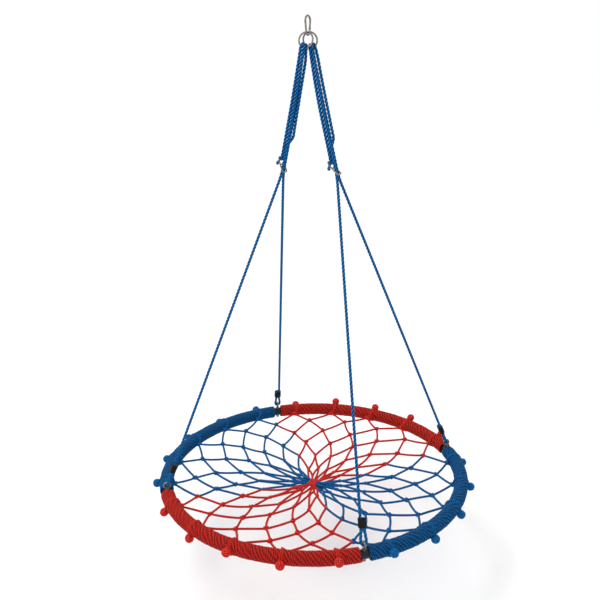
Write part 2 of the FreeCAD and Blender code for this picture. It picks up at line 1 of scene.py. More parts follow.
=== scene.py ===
"""Looks of the saucer nest swing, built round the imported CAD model.  Metres, +Z up.

The origin is the hanging point.  The ring's joints are at 45, 135, 225 and 315 degrees, the left
and right quarters are blue and the front and back ones red.
"""
import math

import bpy
import numpy as np
from mathutils import Matrix, Vector


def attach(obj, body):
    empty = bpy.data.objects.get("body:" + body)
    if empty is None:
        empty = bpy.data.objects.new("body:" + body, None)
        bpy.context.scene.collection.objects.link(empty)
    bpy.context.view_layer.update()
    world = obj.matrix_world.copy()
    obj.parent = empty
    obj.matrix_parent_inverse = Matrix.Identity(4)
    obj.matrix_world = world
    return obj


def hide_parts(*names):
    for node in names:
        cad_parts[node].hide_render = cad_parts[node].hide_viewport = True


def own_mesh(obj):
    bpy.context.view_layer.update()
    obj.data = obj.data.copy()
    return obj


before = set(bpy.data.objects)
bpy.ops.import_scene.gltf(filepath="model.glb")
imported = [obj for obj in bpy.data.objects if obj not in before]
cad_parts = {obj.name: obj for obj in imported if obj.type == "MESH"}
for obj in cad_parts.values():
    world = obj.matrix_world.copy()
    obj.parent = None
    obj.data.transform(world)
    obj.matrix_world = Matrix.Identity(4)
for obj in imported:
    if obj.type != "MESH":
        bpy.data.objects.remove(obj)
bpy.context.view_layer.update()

# ---- sizes repeated from the CAD source, in metres ----
RING_Z = -1.413
RING_RADIUS = 0.479
WRAP_RADIUS = 0.0225
SOCKET_PAST_BOLT = 0.007
WRAP_END_GAP = 0.0005
BARE_LENGTH = 0.0105
KNOT_STEP_DEG = 18.0
KNOT_STANDOFF = 0.031
NET_SAG = 0.047
NET_SAG_POWER = 2.2
EYE_RADIUS = 0.0095
EYE_HEIGHT = 0.0282
ROPE_RADIUS = 0.0046
STRAND_PITCH = 0.0095
EYE_LOOP_HALF_WIDTH = 0.0095
EYE_LOOP_DROP = 0.0082
CLAMP_BOTTOM = 0.036
CLAMP_LENGTH = 0.032
BOW_WIRE_Z = -0.04875
O_RING_RADIUS = 0.0215
O_RING_BOTTOM_SPACING = 0.0118
O_RING_LIFT = 0.008
ADJUSTER_X = 0.086
ADJUSTER_Z = -0.413
PAIR_HALF_PITCH = 0.0047
TAIL_OFFSET = 0.0095
ARCH_HALF_WIDTH = 0.0086
ARCH_HEIGHT = 0.0095
ARCH_LEG = 0.008
TAIL_LEAD = 0.002
CROSSING_RADIUS = 0.0103
TAIL_CROSSING = (
    (-0.306, 20), (-0.270, 0), (-0.098, 0), (-0.085, 45), (-0.072, 90), (-0.059, 135), (-0.046, 175),
)
TAIL_BESIDE = (-0.306, -0.195)
FAN_START = -0.195
BEND_BELOW = 0.029
CORNERS = {"front_left": 225.0, "back_left": 135.0, "back_right": 45.0, "front_right": 315.0}
QUARTERS = {"right": 0.0, "back": 90.0, "left": 180.0, "front": 270.0}
BLUE_QUARTERS = ("right", "left")
KNOT_TURNS = {
    "right": (5, -35, -35, -20, -20),
    "back": (35, 45, 40, 55, 15),
    "left": (15, 0, 0, -5, -5),
    "front": (-30, -50, 0, -10, 10),
}

# ---- cords ----
STRANDS = 3
WRAP_CORD_RADIUS = 0.0043
WRAP_PITCH = 0.0066
WRAP_POINTS_PER_TURN = 28
WRAP_TWISTS_PER_TURN = 6.5
NET_CORD_RADIUS = 0.0039
KNOT_CORD_RADIUS = 0.0038
NET_TWIST = 0.023
KNOT_TWIST = 0.0182
NET_ROWS = (0.4535, 0.397, 0.330, 0.258, 0.175, 0.088)
NET_SWIRL = (0.4, 1.6, 3.4, 5.4, 7.4, 9.4)
NET_COLUMNS = 20


# ---------------------------------------------------------------- camera


CAMERA_LENS = 47.04
CAMERA_PLACE = (1.1041, -2.0314, -0.1140)
CAMERA_RIGHT = (0.87366, 0.48628, -0.01601)
CAMERA_UP = (-0.12925, 0.26368, 0.95591)
CAMERA_BACK = (0.46905, -0.83308, 0.29322)


def make_camera():
    """A view from the front right, from above the seat."""
    data = bpy.data.cameras.new("camera")
    data.sensor_width = 36.0
    data.lens = CAMERA_LENS
    camera = bpy.data.objects.new("camera", data)
    bpy.context.scene.collection.objects.link(camera)
    turn = Matrix((CAMERA_RIGHT, CAMERA_UP, CAMERA_BACK)).transposed().to_4x4()
    camera.matrix_world = Matrix.Translation(CAMERA_PLACE) @ turn
    data.clip_start = 0.05
    data.clip_end = 60.0
    bpy.context.scene.camera = camera


make_camera()


# ---------------------------------------------------------------- small geometry


def unit(vector):
    vector = np.asarray(vector, float)
    return vector / np.linalg.norm(vector)


def polar(radius, degrees, z):
    angle = math.radians(degrees)
    return np.array((radius * math.cos(angle), radius * math.sin(angle), z))


def local_point(origin, axes, values):
    return origin + axes[0] * values[0] + axes[1] * values[1] + axes[2] * values[2]


def smooth_line(points, resolution=12):
    """Points along the NURBS spline that has these control points."""
    curve = bpy.data.curves.new("route", "CURVE")
    curve.dimensions = "3D"
    spline = curve.splines.new("NURBS")
    spline.points.add(len(points) - 1)
    for slot, point in zip(spline.points, points):
        slot.co = (point[0], point[1], point[2], 1.0)
    spline.order_u = 3
    spline.use_endpoint_u = True
    spline.resolution_u = resolution
    holder = bpy.data.objects.new("route", curve)
    mesh = bpy.data.meshes.new_from_object(holder)
    line = np.array([v.co for v in mesh.vertices], float).reshape(-1, 3)
    bpy.data.objects.remove(holder)
    bpy.data.curves.remove(curve)
    bpy.data.meshes.remove(mesh)
    return line


def even_line(line, step):
    """The same line with points an even distance apart."""
    gaps = np.linalg.norm(np.diff(line, axis=0), axis=1)
    keep = np.concatenate([[True], gaps > 1e-9])
    line = line[keep]
    along = np.concatenate([[0.0], np.cumsum(np.linalg.norm(np.diff(line, axis=0), axis=1))])
    count = max(3, int(round(along[-1] / step)) + 1)
    wanted = np.linspace(0.0, along[-1], count)
    return np.stack([np.interp(wanted, along, line[:, axis]) for axis in range(3)], axis=1)


def line_length(line):
    return float(np.linalg.norm(np.diff(line, axis=0), axis=1).sum())


def line_frames(line):
    """Unit tangents and two side directions that turn as little as possible along the line."""
    tangents = np.gradient(line, axis=0)
    tangents /= np.linalg.norm(tangents, axis=1)[:, None]
    seed = np.eye(3)[int(np.argmin(np.abs(tangents[0])))]
    side = unit(np.cross(tangents[0], seed))
    sides = [side]
    for index in range(1, len(line)):
        side = side - tangents[index] * float(np.dot(side, tangents[index]))
        side /= np.linalg.norm(side)
        sides.append(side)
    sides = np.array(sides)
    return tangents, sides, np.cross(tangents, sides)


# ---------------------------------------------------------------- cord meshes


class CordMesh:
    """Collects twisted cords into one mesh.

    Each vertex holds how far into a groove it lies, and its distances round and along the strands.
    """

    def __init__(self):
        self.points = []
        self.faces = []
        self.groove = []
        self.fibre = []
        self.count = 0

    def add(self, line, radius, pitch, sides=12, phase=0.0, taper=0.0, depth=0.36, outward=None):
        """A cord along a line: its section has one lobe to a strand and turns once in each pitch.

        The turn is counted from the outward directions where they are given.
        """
        line = np.asarray(line, float)
        tangents, first, second = line_frames(line)
        if outward is not None:
            first = outward - tangents * np.sum(outward * tangents, axis=1)[:, None]
            first /= np.linalg.norm(first, axis=1)[:, None]
            second = np.cross(tangents, first)
        along = np.concatenate([[0.0], np.cumsum(np.linalg.norm(np.diff(line, axis=0), axis=1))])
        turn = along / pitch * 2 * math.pi + phase
        angles = np.linspace(0.0, 2 * math.pi, sides, endpoint=False)
        grid = angles[None, :] + np.zeros((len(line), 1))
        wave = np.abs(np.cos(STRANDS / 2 * (grid - turn[:, None])))
        groove = 1 - wave
        reach = radius * (1 - depth * groove)
        if taper:
            ends = np.clip(np.minimum(along, along[-1] - along) / taper, 0.0, 1.0)
            reach = reach * (0.35 + 0.65 * np.sqrt(ends))[:, None]
        ring = (line[:, None, :] + first[:, None, :] * (reach * np.cos(grid))[:, :, None]
                + second[:, None, :] * (reach * np.sin(grid))[:, :, None])
        rows = len(line)
        start = self.count
        index = start + np.arange(rows)[:, None] * sides + np.arange(sides)[None, :]
        after = np.roll(index, -1, axis=1)
        quads = np.stack([index[:-1], after[:-1], after[1:], index[1:]], axis=-1).reshape(-1, 4)
        self.points.append(ring.reshape(-1, 3))
        self.groove.append(groove.reshape(-1))
        around = (grid - turn[:, None]) * radius
        self.fibre.append(np.stack([around, along[:, None] + 0 * grid], axis=-1).reshape(-1, 2))
        self.faces.extend(quads.tolist())
        self.faces.append(index[0][::-1].tolist())
        self.faces.append(index[-1].tolist())
        self.count += rows * sides

    def build(self, name, material):
        mesh = bpy.data.meshes.new(name)
        mesh.from_pydata(np.concatenate(self.points).tolist(), [], self.faces)
        groove = mesh.attributes.new("groove", "FLOAT", "POINT")
        groove.data.foreach_set("value", np.concatenate(self.groove).astype(np.float32))
        fibre = mesh.attributes.new("fibre", "FLOAT_VECTOR", "POINT")
        flat = np.concatenate(self.fibre)
        flat = np.concatenate([flat, np.zeros((len(flat), 1))], axis=1)
        fibre.data.foreach_set("vector", flat.astype(np.float32).ravel())
        mesh.polygons.foreach_set("use_smooth", np.ones(len(mesh.polygons), bool))
        mesh.materials.append(material)
        piece = bpy.data.objects.new(name, mesh)
        bpy.context.scene.collection.objects.link(piece)
        return piece


# ---------------------------------------------------------------- materials


def new_material(name):
    material = bpy.data.materials.new(name)
    material.use_nodes = True
    nodes = material.node_tree.nodes
    return material, nodes, material.node_tree.links, nodes["Principled BSDF"]


def mix_colour(nodes, links, factor, first, second):
    """A colour mix; each of the three inputs is a socket or a value."""
    mix = nodes.new("ShaderNodeMix")
    mix.data_type = "RGBA"
    for slot, value in ((0, factor), (6, first), (7, second)):
        if hasattr(value, "is_output"):
            links.new(value, mix.inputs[slot])
        else:
            mix.inputs[slot].default_value = value
    return mix.outputs[2]


def noise(nodes, links, vector, scale, detail):
    texture = nodes.new("ShaderNodeTexNoise")
    texture.inputs["Scale"].default_value = scale
    texture.inputs["Detail"].default_value = detail
    texture.inputs["Roughness"].default_value = 0.55
    links.new(vector, texture.inputs["Vector"])
    return texture.outputs["Fac"]


def remap(nodes, links, value, low, high, to_low, to_high):
    node = nodes.new("ShaderNodeMapRange")
    node.inputs["From Min"].default_value = low
    node.inputs["From Max"].default_value = high
    node.inputs["To Min"].default_value = to_low
    node.inputs["To Max"].default_value = to_high
    links.new(value, node.inputs["Value"])
    return node.outputs["Result"]


def maths(nodes, links, operation, first, second):
    node = nodes.new("ShaderNodeMath")
    node.operation = operation
    for slot, value in enumerate((first, second)):
        if hasattr(value, "is_output"):
            links.new(value, node.inputs[slot])
        else:
            node.inputs[slot].default_value = value
    return node.outputs["Value"]


def bump(nodes, links, height, distance, strength):
    node = nodes.new("ShaderNodeBump")
    node.inputs["Strength"].default_value = strength
    node.inputs["Distance"].default_value = distance
    links.new(height, node.inputs["Height"])
    return node.outputs["Normal"]


def cord_material(name, groove_shade, base, light):
    """Polypropylene cord: fine fibres along each strand, painted shade in the grooves between strands and a
    painted highlight on the strands' crests.
    """
    material, nodes, links, shader = new_material(name)
    groove = nodes.new("ShaderNodeAttribute")
    groove.attribute_name = "groove"
    fibre = nodes.new("ShaderNodeAttribute")
    fibre.attribute_name = "fibre"
    stretch = nodes.new("ShaderNodeMapping")
    stretch.inputs["Scale"].default_value = (2600.0, 260.0, 1.0)
    links.new(fibre.outputs["Vector"], stretch.inputs["Vector"])
    place = nodes.new("ShaderNodeTexCoord").outputs["Object"]
    threads = noise(nodes, links, stretch.outputs["Vector"], 1.0, 2.0)
    patches = noise(nodes, links, place, 22.0, 3.0)
    tone = remap(nodes, links, threads, 0.3, 0.7, 0.0, 1.0)
    colour = mix_colour(nodes, links, tone, base, light)
    faded = remap(nodes, links, patches, 0.4, 0.75, 0.0, 0.3)
    colour = mix_colour(nodes, links, faded, colour, light)
    # Painted highlight: the crests of the strands are mixed towards the pale colour.
    crest_highlight = remap(nodes, links, groove.outputs["Fac"], 0.0, 0.16, 0.75, 0.0)
    colour = mix_colour(nodes, links, crest_highlight, colour, light)
    # Painted shade: the grooves between strands are mixed towards the dark colour.
    shade = remap(nodes, links, groove.outputs["Fac"], 0.12, 0.5, 0.0, 1.0)
    colour = mix_colour(nodes, links, shade, colour, groove_shade)
    links.new(colour, shader.inputs["Base Color"])
    rough = remap(nodes, links, threads, 0.25, 0.75, 0.62, 0.85)
    links.new(rough, shader.inputs["Roughness"])
    links.new(bump(nodes, links, threads, 0.0004, 0.6), shader.inputs["Normal"])
    shader.inputs["Specular IOR Level"].default_value = 0.12
    return material


def metal_material(name, dark, light, low_rough, high_rough):
    """Plated or bare metal: fine grain and duller patches."""
    material, nodes, links, shader = new_material(name)
    place = nodes.new("ShaderNodeTexCoord").outputs["Object"]
    patches = noise(nodes, links, place, 180.0, 4.0)
    grain = noise(nodes, links, place, 2600.0, 2.0)
    tone = remap(nodes, links, patches, 0.35, 0.65, 0.0, 1.0)
    links.new(mix_colour(nodes, links, tone, dark, light), shader.inputs["Base Color"])
    blend = maths(nodes, links, "ADD", maths(nodes, links, "MULTIPLY", patches, 0.6),
                  maths(nodes, links, "MULTIPLY", grain, 0.4))
    links.new(remap(nodes, links, blend, 0.35, 0.65, low_rough, high_rough), shader.inputs["Roughness"])
    links.new(bump(nodes, links, grain, 0.00006, 0.35), shader.inputs["Normal"])
    shader.inputs["Metallic"].default_value = 1.0
    return material


def paint_material(name, dark, light, low_rough, high_rough, coat, grain_scale, grain_depth):
    """Moulded plastic or powder coat: a fine grain and duller patches."""
    material, nodes, links, shader = new_material(name)
    place = nodes.new("ShaderNodeTexCoord").outputs["Object"]
    patches = noise(nodes, links, place, 60.0, 5.0)
    grain = noise(nodes, links, place, grain_scale, 2.0)
    tone = remap(nodes, links, patches, 0.4, 0.7, 0.0, 1.0)
    links.new(mix_colour(nodes, links, tone, dark, light), shader.inputs["Base Color"])
    links.new(remap(nodes, links, patches, 0.3, 0.7, low_rough, high_rough), shader.inputs["Roughness"])
    links.new(bump(nodes, links, grain, grain_depth, 0.5), shader.inputs["Normal"])
    shader.inputs["Specular IOR Level"].default_value = 0.2
    shader.inputs["Coat Weight"].default_value = coat
    shader.inputs["Coat Roughness"].default_value = 0.2
    return material


# Cord colours: painted groove shade, base, and a paler fibre tone that is also the painted crest highlight.
BLUE = cord_material("blue cord", (0.0, 0.011, 0.055, 1), (0.0, 0.098, 0.33, 1), (0.006, 0.19, 0.5, 1))
RED = cord_material("red cord", (0.12, 0.001, 0.001, 1), (0.66, 0.012, 0.01, 1), (0.88, 0.055, 0.035, 1))
# Darker copies of the cord colours for the wound wrap: painted shade for the tight coil.
SHADED_WOUND_BLUE = cord_material("wound blue cord with painted shade", (0.0, 0.004, 0.02, 1), (0.0, 0.08, 0.28, 1),
                           (0.006, 0.18, 0.46, 1))
SHADED_WOUND_RED = cord_material("wound red cord with painted shade", (0.05, 0.0, 0.0, 1), (0.58, 0.008, 0.008, 1),
                          (0.88, 0.05, 0.03, 1))
STEEL = metal_material("zinc-plated steel", (0.13, 0.115, 0.1, 1), (0.3, 0.28, 0.26, 1), 0.22, 0.42)
NUT_STEEL = metal_material("plated nuts and washers", (0.11, 0.1, 0.1, 1), (0.27, 0.26, 0.25, 1), 0.28, 0.5)
ALUMINIUM = metal_material("ferrule aluminium", (0.45, 0.45, 0.46, 1), (0.62, 0.62, 0.63, 1), 0.3, 0.45)
TUBE_PAINT = paint_material("dark tube paint", (0.001, 0.004, 0.014, 1), (0.003, 0.01, 0.03, 1),
                            0.25, 0.42, 0.15, 900.0, 0.00008)
SLEEVE = paint_material("black moulded plastic", (0.001, 0.001, 0.0012, 1), (0.004, 0.004, 0.005, 1),
                        0.45, 0.65, 0.0, 2200.0, 0.00006)


# ---------------------------------------------------------------- rope routes, as in the CAD source


def bundle(side):
    """Origin at the adjuster, and axes to the left, to the back and down along the ropes."""
    bow = np.array((0.0, 0.0, BOW_WIRE_Z))
    origin = np.array((side * ADJUSTER_X, 0.0, ADJUSTER_Z))
    down = unit(origin - bow)
    left = np.cross((0.0, 1.0, 0.0), down)
    if left[0] > 0:
        left = -left
    return origin, (left, np.array((0.0, 1.0, 0.0)), down)


def ring_distance():
    """From the adjuster up the ropes to the wire at the O-rings' bottom."""
    origin = bundle(1)[0]
    bow = np.array((0.0, 0.0, BOW_WIRE_Z))
    return float(np.linalg.norm(origin - bow)) - (2 * O_RING_RADIUS - O_RING_LIFT)


def corner_side(corner):
    return 1 if corner.endswith("right") else -1


def corner_row(corner):
    return 1 if corner.startswith("back") else -1


def parting_point(corner):
    origin, axes = bundle(corner_side(corner))
    return local_point(origin, axes, (0, corner_row(corner) * PAIR_HALF_PITCH, BEND_BELOW))


def eye_frame(corner):
    centre = polar(RING_RADIUS, CORNERS[corner], RING_Z + EYE_HEIGHT)
    tangent = polar(1, CORNERS[corner] + 90, 0)
    pull = parting_point(corner) - centre
    eye = centre + unit(pull - tangent * float(np.dot(pull, tangent))) * EYE_RADIUS
    up = unit(parting_point(corner) - eye)
    through = unit(np.cross(up, tangent))
    return eye, (np.cross(through, up), through, up)


def standing_lane(corner, along):
    side = corner_side(corner)
    row = corner_row(corner)
    share = max(0.0, (FAN_START - along) / (FAN_START + ring_distance() + ARCH_HEIGHT))
    top_left = row * STRAND_PITCH / 2
    top_back = side * O_RING_BOTTOM_SPACING + row * ARCH_HALF_WIDTH
    low_back = row * PAIR_HALF_PITCH
    return top_left * share, low_back + (top_back - low_back) * share


def arch_points(corner):
    side = corner_side(corner)
    row = corner_row(corner)
    origin, axes = bundle(side)
    left = row * STRAND_PITCH / 2
    middle = side * O_RING_BOTTOM_SPACING
    ring = -ring_distance()
    flat = [
        (left, middle + row * ARCH_HALF_WIDTH, ring - ARCH_HEIGHT),
        (left, middle - row * ARCH_HALF_WIDTH, ring - ARCH_HEIGHT),
        (left, middle - row * ARCH_HALF_WIDTH, ring + ARCH_LEG),
    ]
    return [local_point(origin, axes, values) for values in flat]


def rope_points(corner):
    """Control points from the end in the sleeve, round the eye bolt, up and over the O-ring."""
    eye, axes = eye_frame(corner)
    half = STRAND_PITCH / 2
    wide = EYE_LOOP_HALF_WIDTH
    flat = [
        (half, CLAMP_BOTTOM + CLAMP_LENGTH - 0.004),
        (half, CLAMP_BOTTOM - 0.004),
        (wide - 0.0025, 0.015),
        (wide, -EYE_LOOP_DROP),
        (-wide, -EYE_LOOP_DROP),
        (-wide + 0.0025, 0.015),
        (-half, CLAMP_BOTTOM - 0.004),
        (-half, CLAMP_BOTTOM + CLAMP_LENGTH + 0.002),
    ]
    points = [local_point(eye, axes, (across, 0, up)) for across, up in flat]
    parting = parting_point(corner)
    run = unit(parting - points[-1])
    near = 12 * ROPE_RADIUS
    points += [points[-1] + run * near, parting - run * near, parting]
    origin, axes = bundle(corner_side(corner))
    left, back = standing_lane(corner, FAN_START)
    points += [parting - axes[2] * near, local_point(origin, axes, (left, back, FAN_START))]
    arch = arch_points(corner)
    leg = unit(points[-1] - arch[0])
    return points + [arch[0] + leg * 2 * ARCH_HALF_WIDTH] + arch


def tail_points(corner):
    """Control points from the O-ring down to the adjuster's upper loop."""
    row = corner_row(corner)
    origin, axes = bundle(corner_side(corner))
    back = -row * PAIR_HALF_PITCH
    middle = []
    if row < 0:
        neighbour = corner.replace("front", "back")
        for along, degrees in TAIL_CROSSING:
            angle = math.radians(degrees)
            lane_left, lane_back = standing_lane(neighbour, along)
            middle.append((lane_left - CROSSING_RADIUS * math.cos(angle),
                           lane_back + CROSSING_RADIUS * math.sin(angle), along))
    else:
        neighbour = corner.replace("back", "front")
        for along in TAIL_BESIDE:
            lane_left, lane_back = standing_lane(neighbour, along)
            middle.append((lane_left + TAIL_OFFSET, lane_back, along))
    near = 12 * ROPE_RADIUS
    end = [(TAIL_OFFSET, back, -0.015 - near), (TAIL_OFFSET, back, -0.015), (0.0126, back, -0.0122)]
    start = arch_points(corner)[-1]
    points = [start, start + axes[2] * TAIL_LEAD]
    return points + [local_point(origin, axes, values) for values in middle + end]


ROPE_STEP = 0.0022
ROPE_TWIST = 0.034
# Where each rope's twist starts, so that its strands clear the O-rings when the seat swings sideways.
TWIST_START = {"front_left": 0.0, "back_left": 0.0, "back_right": 0.7, "front_right": 0.0}


def make_ropes():
    """Four hanging ropes and their tied-off tails."""
    for corner in CORNERS:
        line = even_line(smooth_line(rope_points(corner), 24), ROPE_STEP)
        cord = CordMesh()
        cord.add(line, ROPE_RADIUS, sides=18, pitch=ROPE_TWIST, phase=TWIST_START[corner])
        piece = cord.build(f"hanging_rope_{corner}", BLUE)
        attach(piece, "seat")
        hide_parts(f"rope_{corner}_lower", f"rope_{corner}_upper")

        line = even_line(smooth_line(tail_points(corner), 24), ROPE_STEP)
        cord = CordMesh()
        cord.add(line, ROPE_RADIUS, sides=18, pitch=ROPE_TWIST, phase=1.0)
        piece = cord.build(f"rope_tail_{corner}", BLUE)
        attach(piece, "seat")
        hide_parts(f"rope_{corner}_tail")
        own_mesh(piece)


make_ropes()


# ---------------------------------------------------------------- knots


def knot_line(centre, axes, size, count=72, squeeze=1.0):
    """A trefoil knot, drawn as one line whose ends meet."""
    t = np.linspace(0.0, 2 * math.pi, count)
    a = (np.sin(t) + 2 * np.sin(2 * t)) * size
    b = (np.cos(t) - 2 * np.cos(2 * t)) * size
    c = -np.sin(3 * t) * size * squeeze
    return centre + a[:, None] * axes[0] + b[:, None] * axes[1] + c[:, None] * axes[2]


def turned_axes(axes, degrees):
    """The three axes turned about the third."""
    angle = math.radians(degrees)
    first = axes[0] * math.cos(angle) + axes[1] * math.sin(angle)
    return first, np.cross(axes[2], first), axes[2]


TAIL_KNOT_LEFT = 0.0202
TAIL_KNOT_Z = -0.0065
TAIL_KNOT_STAGGER = 0.0055


def make_tail_knots():
    """The tails' stopper knots, one a little higher than the other, and the short ends past them."""
    for side, name in ((-1, "left"), (1, "right")):
        origin, axes = bundle(side)
        cord = CordMesh()
        for row in (-1, 1):
            height = TAIL_KNOT_Z + row * TAIL_KNOT_STAGGER
            centre = local_point(origin, axes, (TAIL_KNOT_LEFT, -row * PAIR_HALF_PITCH, height))
            knot = (axes[2], axes[1], axes[0])
            cord.add(knot_line(centre, turned_axes(knot, 25 * row), 0.0011, squeeze=1.3), 0.0030,
                     sides=18, pitch=ROPE_TWIST)
            root = local_point(origin, axes, (0.0165, -row * PAIR_HALF_PITCH, -0.0105))
            stub = centre + axes[0] * 0.0055 + axes[2] * 0.002 * row
            cord.add(even_line(np.array([root, centre, stub]), 0.0015), 0.0034, sides=18,
                     pitch=ROPE_TWIST, taper=0.003)
        piece = cord.build(f"stopper_knots_{name}", BLUE)
        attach(piece, f"adjuster_{name}")
        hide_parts(f"tail_knots_{name}")


make_tail_knots()


# ---------------------------------------------------------------- ring


def on_ring(degrees, radius, phi):
    """Points round the ring's tube: phi, in radians, is 0 outwards and a quarter turn at the top."""
    angle = np.radians(degrees)
    reach = RING_RADIUS + radius * np.cos(phi)
    return np.stack([reach * np.cos(angle), reach * np.sin(angle), RING_Z + radius * np.sin(phi)], axis=-1)


def quarter_material(quarter):
    return BLUE if quarter in BLUE_QUARTERS else RED


def make_wrap(quarter):
    """One cord wound turn by turn round the tube."""
    if quarter in BLUE_QUARTERS:
        trim = BARE_LENGTH
    else:
        trim = SOCKET_PAST_BOLT + WRAP_END_GAP
    half = 45.0 - math.degrees((trim + WRAP_CORD_RADIUS) / RING_RADIUS)
    turns = int(round(math.radians(2 * half) * RING_RADIUS / WRAP_PITCH))
    t = np.linspace(0.0, turns, turns * WRAP_POINTS_PER_TURN + 1)
    degrees = QUARTERS[quarter] - half + 2 * half * t / turns
    wander = 0.00022 * np.sin(t * 1.7) + 0.00018 * np.sin(t * 0.61 + 1.0)
    line = on_ring(degrees, WRAP_RADIUS - WRAP_CORD_RADIUS + wander, 2 * math.pi * t)
    outward = line - on_ring(degrees, 0.0, 2 * math.pi * t)
    cord = CordMesh()
    pitch = line_length(line) / (turns * WRAP_TWISTS_PER_TURN)
    cord.add(line, WRAP_CORD_RADIUS, pitch, depth=0.42, outward=outward)
    # The wrap takes the darker cord copies, painted shade for the tight coil.
    material = SHADED_WOUND_BLUE if quarter in BLUE_QUARTERS else SHADED_WOUND_RED
    piece = cord.build(f"wound_cord_{quarter}", material)
    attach(piece, "seat")
    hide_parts(f"cord_wrap_{quarter}")


KNOB_COIL_RADIUS = 0.0094
KNOB_CORE_RADIUS = 0.0088
LASHING_CORD_RADIUS = 0.0028
NECK_LENGTH = 0.0105


def add_knob(cord, centre, out, tangent, spin):
    """A round stopper knot: three coils wound over one another, with a core that fills the middle."""
    side = unit(np.cross(out, tangent))
    first, second, third = turned_axes((tangent, side, out), spin)
    planes = ((first, third, second), (second, third, first), (first, second, third))
    t = np.linspace(0.0, 2 * math.pi, 44)
    for coil, (a, b, c) in enumerate(planes):
        for lane in (-1, 1):
            line = (centre + np.outer(KNOB_COIL_RADIUS * np.cos(t), a)
                    + np.outer(KNOB_COIL_RADIUS * np.sin(t), b)
                    + c * lane * KNOT_CORD_RADIUS * (1 - 0.1 * coil))
            cord.add(line, KNOT_CORD_RADIUS, pitch=KNOT_TWIST, phase=coil + lane)
    core = centre + np.outer(np.linspace(-0.008, 0.008, 9), out)
    cord.add(core, KNOB_CORE_RADIUS, pitch=0.03, taper=0.006)


def make_ring_knots(quarter):
    """A knob on the outside of the ring, tied with a cord that goes round the wrapped tube."""
    cord = CordMesh()
    for index, turn in enumerate(KNOT_TURNS[quarter]):
        degrees = QUARTERS[quarter] + KNOT_STEP_DEG * (index - 2)
        tangent = polar(1, degrees + 90, 0)
        upward = math.radians(turn)
        phi = np.linspace(0.2, 2 * math.pi - 0.2, 64) + upward
        for lane in (-1, 1):
            spread = lane * math.degrees(LASHING_CORD_RADIUS / RING_RADIUS)
            line = on_ring(degrees + spread + 0 * phi, WRAP_RADIUS - 0.0004, phi)
            cord.add(line, LASHING_CORD_RADIUS, pitch=KNOT_TWIST, phase=lane)
        out = polar(math.cos(upward), degrees, math.sin(upward))
        centre = polar(RING_RADIUS, degrees, RING_Z) + out * KNOT_STANDOFF
        add_knob(cord, centre, out, tangent, 40.0 * math.sin(degrees * 1.3))
        neck = np.linspace(-NECK_LENGTH, -0.002, 6)
        for lane in (-1, 0, 1):
            slope = np.outer(neck + NECK_LENGTH, tangent) * lane * -0.5
            line = centre + np.outer(neck, out) + tangent * lane * 0.0085 + slope
            cord.add(line, KNOT_CORD_RADIUS, pitch=KNOT_TWIST)
    piece = cord.build(f"tied_knots_{quarter}", quarter_material(quarter))
    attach(piece, "seat")
    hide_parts(f"ring_knots_{quarter}")


# ---------------------------------------------------------------- net


def net_point(row, column):
    """A knot of the net.

    Odd rows lie half a column further round, and the whole net is pulled a little askew.
    """
    degrees = 360.0 / NET_COLUMNS * (column + (0.5 if row % 2 else 0.0))
    askew = math.sin(math.radians(degrees))
    radius = NET_ROWS[row]
    if row > 0:
        radius += 0.009 * askew + 0.0045 * math.sin(row * 5.3 + column * 2.7)
    wander = 0.16 * math.cos(row * 3.1 + column * 4.9) / max(radius, 0.1)
    degrees += NET_SWIRL[row] + 1.7 * math.cos(math.radians(degrees - 155)) + wander
    z = RING_Z - NET_SAG * (1 - (radius / RING_RADIUS) ** NET_SAG_POWER)
    return polar(radius, degrees, z)


def quarter_of(point):
    degrees = math.degrees(math.atan2(point[1], point[0]))
    return min(QUARTERS, key=lambda quarter: abs((degrees - QUARTERS[quarter] + 180) % 360 - 180))


def bowed(start, end, bow, drop):
    """A slightly slack cord between two points."""
    side = unit(np.cross(end - start, (0.0, 0.0, 1.0)))
    t = np.linspace(0.0, 1.0, max(8, int(np.linalg.norm(end - start) / 0.0030)))
    hump = 4 * t * (1 - t)
    line = start[None, :] + (end - start)[None, :] * t[:, None]
    return line + hump[:, None] * (side * bow - np.array((0.0, 0.0, drop)))[None, :]


def make_net():
    cords = {quarter: CordMesh() for quarter in QUARTERS}
    for row in range(len(NET_ROWS) - 1):
        for column in range(NET_COLUMNS):
            start = net_point(row, column)
            for step in (0, 1):
                if row % 2:
                    other = column + step
                else:
                    other = column - step
                end = net_point(row + 1, other)
                quarter = quarter_of((start + end) / 2)
                bow = 0.003 * math.sin(row * 1.9 + column * 3.7 + step * 2.3)
                lift = 0.0013 if step else -0.0013
                raised = np.array((0.0, 0.0, lift))
                line = bowed(start + raised, end - raised, bow, 0.0012)
                cords[quarter].add(line, NET_CORD_RADIUS, pitch=NET_TWIST,
                                   phase=column + step)
    for row in range(1, len(NET_ROWS)):
        for column in range(NET_COLUMNS):
            centre = net_point(row, column)
            quarter = quarter_of(centre + 0.002 * np.array((-centre[1], centre[0], 0.0)) / 0.4)
            along = unit(np.array((centre[0], centre[1], 0.0)))
            across = np.cross((0.0, 0.0, 1.0), along)
            up = np.array((0.0, 0.0, 1.0))
            swing = 30.0 * math.sin(row * 2.3 + column * 1.7)
            axes = turned_axes((along, across, up), swing)
            t = np.linspace(0.0, 2 * math.pi * 1.6, 34)
            length = 0.0115 if row < 4 else 0.007
            round_by = 0.0046 if row < 4 else 0.0026
            wrap = (centre + np.outer(length * (t / t[-1] - 0.5), axes[0])
                    + np.outer(round_by * np.cos(t), axes[1])
                    + np.outer(round_by * np.sin(t), axes[2]))
            cords[quarter].add(wrap, NET_CORD_RADIUS * 0.92, pitch=NET_TWIST, taper=0.002)
    return cords


